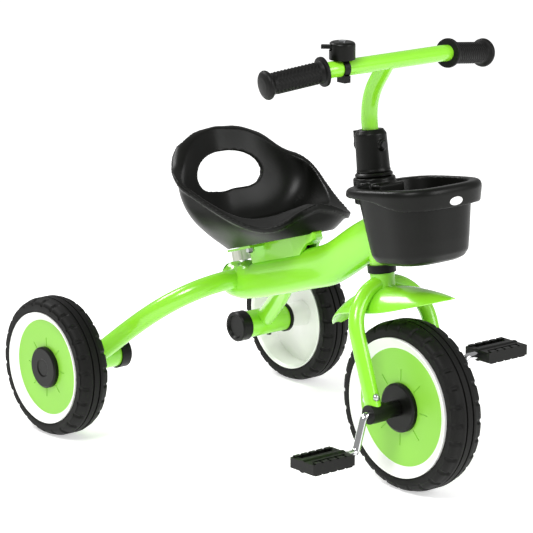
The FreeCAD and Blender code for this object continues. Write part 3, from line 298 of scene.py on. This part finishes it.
def gloss_enamel_on_steel(name, c):
    """Gloss polyester powder coat on steel: wet highlights, faint orange peel a few millimetres wide."""
    coat = {"IOR": 1.5, "Coat Weight": 0.5, "Coat Roughness": 0.06}
    return surface_finish(name, c.paint, 0.24, 3.0, 0.035, spread=0.04, shade=0.965, cloud_mm=60.0, **coat)


def moulded_green_polypropylene(name, c):
    """Moulded polypropylene with a fine spark texture: a soft broad sheen."""
    return surface_finish(name, c.disc, 0.38, 0.9, 0.02, spread=0.05, shade=0.95, cloud_mm=30.0, IOR=1.49)


def moulded_white_polypropylene(name, c):
    """Moulded white polypropylene, nearly gloss."""
    return surface_finish(name, c.rim, 0.3, 1.2, 0.015, spread=0.05, shade=0.96, cloud_mm=30.0, IOR=1.49)


def moulded_black_polypropylene(name, c):
    """Satin black polypropylene with a mould texture about a millimetre wide."""
    dull = {"IOR": 1.49, "Specular IOR Level": 0.2}
    return surface_finish(name, c.plastic, 0.36, 1.0, 0.03, shade=0.8, cloud_mm=40.0, scuff=0.12, **dull)


def labelled_black_polypropylene(name, c):
    """The basket's polypropylene with a blank white oval label, 22 x 11 mm, on its front skirt."""
    low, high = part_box("basket")
    centre = (high.x - LABEL_BEHIND_FRONT, 0.0, high.z - LABEL_BELOW_RIM)
    return add_blank_label(moulded_black_polypropylene(name, c), centre, LABEL_REACH, linear("#F4F4F2"))


def closed_cell_foam_rubber(name, c):
    """Closed-cell EVA foam skin: matt with tiny pores."""
    dull = {"IOR": 1.5, "Specular IOR Level": 0.2}
    return surface_finish(name, c.foam, 0.58, 0.8, 0.06, spread=0.08, shade=0.8, cloud_mm=20.0,
                          scuff=0.25, **dull)


def soft_vinyl_grip(name, c):
    """Soft vinyl: matt, with a slightly greasy sheen."""
    dull = {"IOR": 1.5, "Specular IOR Level": 0.2}
    return surface_finish(name, c.rubber, 0.5, 0.8, 0.04, spread=0.07, shade=0.8, cloud_mm=18.0,
                          scuff=0.1, **dull)


def chrome_plated_steel(name, c):
    """Chrome-plated bent rod: mirror with faint drawing marks."""
    return surface_finish(name, linear("#D6D7D8"), 0.1, 1.5, 0.01, spread=0.05, cloud_mm=12.0, Metallic=1.0)


def zinc_plated_steel(name, c):
    """Bright zinc plate on the fasteners."""
    return surface_finish(name, linear("#C2C4C6"), 0.3, 0.8, 0.02, spread=0.08, shade=0.85, cloud_mm=8.0,
                          Metallic=1.0)


def black_oxide_and_recess_shade(name, c):
    """Black oxide on the collar bolt and nut: dark with a dull oily sheen; on the seat bolts this dark
    colour is painted shade of their recesses in the seat pan.
    """
    return surface_finish(name, linear("#101012"), 0.4, 0.8, 0.02, shade=0.85, cloud_mm=8.0, IOR=1.5)


def moulded_pearl_acetal(name, c):
    """Pearly white acetal knob."""
    return surface_finish(name, c.pearl, 0.34, 1.0, 0.02, spread=0.05, shade=0.93, cloud_mm=10.0, IOR=1.48)


FINISHES = {make.__name__: make for make in (
    gloss_enamel_on_steel, moulded_green_polypropylene, moulded_white_polypropylene,
    moulded_black_polypropylene, labelled_black_polypropylene, closed_cell_foam_rubber, soft_vinyl_grip,
    chrome_plated_steel, zinc_plated_steel, black_oxide_and_recess_shade, moulded_pearl_acetal)}


def finish(name):
    """The named finish, made on first use."""
    found = bpy.data.materials.get(name)
    return found or FINISHES[name](name, bpy.context.scene.tricycle_finish)


def dress(names, finish_name):
    """Give carried-over nodes a finish."""
    for name in names:
        mesh = NODES[name].data
        mesh.materials.clear()
        mesh.materials.append(finish(finish_name))


def both(*stems):
    """Left and right node names of the given stems."""
    return [stem + side for stem in stems for side in ("_left", "_right")]


def soft_moulding(name, node, body, finish_name, voxel_mm, passes):
    """Copy of a moulded node with its sharp edges eased, as a mould leaves them."""
    mesh = NODES[node].data.copy()
    mesh.name = name
    shell = bmesh.new()
    shell.from_mesh(mesh)
    bmesh.ops.remove_doubles(shell, verts=shell.verts, dist=1e-6)
    shell.to_mesh(mesh)
    shell.free()
    mesh.materials.clear()
    piece = add_piece(name, mesh, body, finish(finish_name), node)
    remesh = piece.modifiers.new("even_skin", "REMESH")
    remesh.mode = "VOXEL"
    remesh.voxel_size = voxel_mm * MM
    remesh.use_smooth_shade = True
    ease = piece.modifiers.new("eased_edges", "SMOOTH")
    ease.factor = 0.5
    ease.iterations = passes
    return piece


# ---------------------------------------------------------------- operators
class TRICYCLE_OT_stage(bpy.types.Operator):
    """Floor, soft lights, camera and surroundings"""
    bl_idname = "tricycle.stage"
    bl_label = "Stage"

    def execute(self, context):
        scene = context.scene
        mesh = grid_mesh("studio_floor", floor_points(), False, False)
        floor = bpy.data.objects.new("studio_floor", mesh)
        scene.collection.objects.link(floor)
        mesh.materials.append(pale_floor_finish())
        world = bpy.data.worlds.new("studio_surroundings")
        world.use_nodes = True
        rays = add_node(world.node_tree, "ShaderNodeLightPath")
        strength = add_node(world.node_tree, "ShaderNodeMapRange", {"To Min": SKY_LIGHT, "To Max": SKY_SEEN},
                            {"Value": (rays, "Is Camera Ray")})
        background = world.node_tree.nodes["Background"]
        background.inputs["Color"].default_value = (1, 1, 1, 1)
        world.node_tree.links.new(strength.outputs["Result"], background.inputs["Strength"])
        scene.world = world
        for name, (place, size, power) in LAMPS.items():
            soft_light(name, place, size, power)
        scene.view_settings.view_transform = "Standard"
        scene.camera = three_quarter_camera()
        return {"FINISHED"}


def pale_floor_finish():
    """Matt white studio floor with a little glow of its own, so it stays white far from the lamps."""
    glow = {"Emission Color": (1, 1, 1, 1), "Emission Strength": 0.55}
    return surface_finish("pale_floor", linear("#FBFBFA"), 0.75, 8.0, 0.01, spread=0.05, shade=0.99,
                          cloud_mm=400.0, **glow)


def floor_points():
    """A flat square just under the tyres: z is constant over x and y."""
    across = np.linspace(-FLOOR_HALF_SIDE, FLOOR_HALF_SIDE, 9)
    x, y = np.meshgrid(across, across, indexing="ij")
    return np.stack([x, y, np.full_like(x, -FLOOR_DROP)], -1)


def soft_light(name, place, size, power):
    """Square area light aimed at the middle of the tricycle."""
    lamp = bpy.data.lights.new(name, "AREA")
    lamp.size = size
    lamp.energy = power
    holder = bpy.data.objects.new(name, lamp)
    bpy.context.scene.collection.objects.link(holder)
    holder.location = place
    holder.rotation_euler = (Vector(LAMP_TARGET) - Vector(place)).to_track_quat("-Z", "Y").to_euler()


def three_quarter_camera():
    """Camera front right of the rider, slightly above, on a long lens."""
    azimuth, elevation, roll = map(math.radians, (CAMERA_AZIMUTH, CAMERA_ELEVATION, CAMERA_ROLL))
    lens = bpy.data.cameras.new("studio_camera")
    lens.lens = CAMERA_LENS
    lens.sensor_width = CAMERA_SENSOR
    camera = bpy.data.objects.new("studio_camera", lens)
    bpy.context.scene.collection.objects.link(camera)
    turn = Matrix.Rotation(azimuth, 4, "Z") @ Matrix.Rotation(math.pi / 2 - elevation, 4, "X")
    camera.matrix_world = Matrix.Translation(CAMERA_PLACE) @ turn @ Matrix.Rotation(roll, 4, "Z")
    return camera


class TRICYCLE_OT_frame(bpy.types.Operator):
    """Painted steel: beam, rear arch, fork, mudguard, stem and handlebar"""
    bl_idname = "tricycle.frame"
    bl_label = "Painted frame"

    def execute(self, context):
        painted = ["main_beam", "rear_arch", "head_tube", "fork_arch", "fork_crown", "mudguard", "stem_tube",
                   "handlebar", "seat_bracket"] + both("rear_sleeve")
        dress(painted, "gloss_enamel_on_steel")
        return {"FINISHED"}


class TRICYCLE_OT_fasteners(bpy.types.Operator):
    """Plated bolts, nuts, axles and the crank"""
    bl_idname = "tricycle.fasteners"
    bl_label = "Metal parts"

    def execute(self, context):
        dress(["crank"], "chrome_plated_steel")
        plated = ["fork_bolts", "fork_nuts", "seat_nuts", "seat_clamp_bolt", "bell_screw",
                  "steerer_tube"] + both("rear_axle")
        # the seat bolts are made black as painted shade of their recesses in the seat pan; the collar bolt
        # and nut are black oxide
        dress(["collar_bolt", "collar_nut", "seat_bolts"], "black_oxide_and_recess_shade")
        dress(plated, "zinc_plated_steel")
        return {"FINISHED"}


class TRICYCLE_OT_mouldings(bpy.types.Operator):
    """Black and pearl mouldings: seat, basket, collar, cups, caps, pedals and bell"""
    bl_idname = "tricycle.mouldings"
    bl_label = "Mouldings"

    def execute(self, context):
        black = ["lower_head_cup", "upper_head_cup", "seat_slide_pad", "bell_clamp", "bell_spacer"]
        black += both("pedal", "axle_sleeve", "sleeve_cap", "sleeve_ring", "sleeve_screw", "hub_flange",
                      "hub_cap")
        dress(black, "moulded_black_polypropylene")
        soft = [("seat_shell", "seat", 1.9, 5), ("basket", "frame", 1.6, 4),
                ("stem_collar", "steering", 0.9, 3), ("bell_dome", "steering", 0.45, 5),
                ("bell_lever", "lever", 0.4, 5)]
        for node, body, voxel_mm, passes in soft:
            look = "labelled_black_polypropylene" if node == "basket" else "moulded_black_polypropylene"
            soft_moulding("moulded_" + node, node, body, look, voxel_mm, passes)
        dress(["seat_knob"], "moulded_pearl_acetal")
        return {"FINISHED"}


class TRICYCLE_OT_wheels(bpy.types.Operator):
    """White rims, green discs and foam tyres with notched shoulders"""
    bl_idname = "tricycle.wheels"
    bl_label = "Wheels"

    def execute(self, context):
        sizes = context.scene.tricycle_sizes
        dress(["front_rim"] + both("rear_rim"), "moulded_white_polypropylene")
        dress(both("front_disc", "rear_disc"), "moulded_green_polypropylene")
        wheels = [("front", "front_wheel_spin", "front_wheel", sizes.front_notches)]
        wheels += [("rear_" + side, f"rear_{side}_spin", "rear_wheel_" + side, sizes.rear_notches)
                   for side in ("left", "right")]
        for stem, joint, body, notches in wheels:
            end, _, side = stem.partition("_")
            node, rim = (end + kind + ("_" + side if side else "") for kind in ("_tyre", "_rim"))
            low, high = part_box(node)
            rim_low, rim_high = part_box(rim)
            centre = np.array(JOINTS[joint]["pos_m"])
            outer, inner = (high.z - low.z) / 2, (rim_high.z - rim_low.z) / 2
            mesh = tyre_mesh(stem + "_tread", centre, outer, inner, high.y - low.y, notches,
                             sizes.notch_depth)
            add_piece(stem + "_foam_tyre", mesh, body, finish("closed_cell_foam_rubber"), node)
        return {"FINISHED"}


class TRICYCLE_OT_grips(bpy.types.Operator):
    """Knurled grips with a flange and a round end"""
    bl_idname = "tricycle.grips"
    bl_label = "Grips"

    def execute(self, context):
        sizes = context.scene.tricycle_sizes
        bar = JOINTS["bell_lever_press"]["pos_m"]
        for side, hand in (("left", 1), ("right", -1)):
            start = np.array([bar[0], hand * GRIP_START, bar[2]])
            way = np.array([-GRIP_BACK, hand * GRIP_OUT, -GRIP_DOWN])
            way /= np.linalg.norm(way)
            mesh = grip_mesh("grip_skin_" + side, start, way, BAR_RADIUS, sizes.knurl_depth,
                             sizes.knurl_pitch)
            add_piece("knurled_grip_" + side, mesh, "steering", finish("soft_vinyl_grip"),
                      "grip_" + side)
        return {"FINISHED"}


class TRICYCLE_PT_panel(bpy.types.Panel):
    """Shows the tricycle's colours, sizes and build steps"""
    bl_idname = "TRICYCLE_PT_panel"
    bl_label = "Tricycle"
    bl_space_type = "VIEW_3D"
    bl_region_type = "UI"
    bl_category = "Tricycle"

    def draw(self, context):
        for group in (context.scene.tricycle_finish, context.scene.tricycle_sizes):
            for key in group.__annotations__:
                self.layout.prop(group, key)
        for step in STEPS:
            self.layout.operator(step.bl_idname)


STEPS = (TRICYCLE_OT_stage, TRICYCLE_OT_frame, TRICYCLE_OT_fasteners, TRICYCLE_OT_mouldings,
         TRICYCLE_OT_wheels, TRICYCLE_OT_grips)
CLASSES = (TricycleFinish, TricycleSizes) + STEPS + (TRICYCLE_PT_panel,)


def register():
    for item in CLASSES:
        bpy.utils.register_class(item)
    bpy.types.Scene.tricycle_finish = bpy.props.PointerProperty(type=TricycleFinish)
    bpy.types.Scene.tricycle_sizes = bpy.props.PointerProperty(type=TricycleSizes)


def unregister():
    del bpy.types.Scene.tricycle_sizes
    del bpy.types.Scene.tricycle_finish
    for item in reversed(CLASSES):
        bpy.utils.unregister_class(item)


def main():
    register()
    bpy.ops.tricycle.stage()
    bpy.ops.tricycle.frame()
    bpy.ops.tricycle.fasteners()
    bpy.ops.tricycle.mouldings()
    bpy.ops.tricycle.wheels()
    bpy.ops.tricycle.grips()


if __name__ == "__main__":
    main()
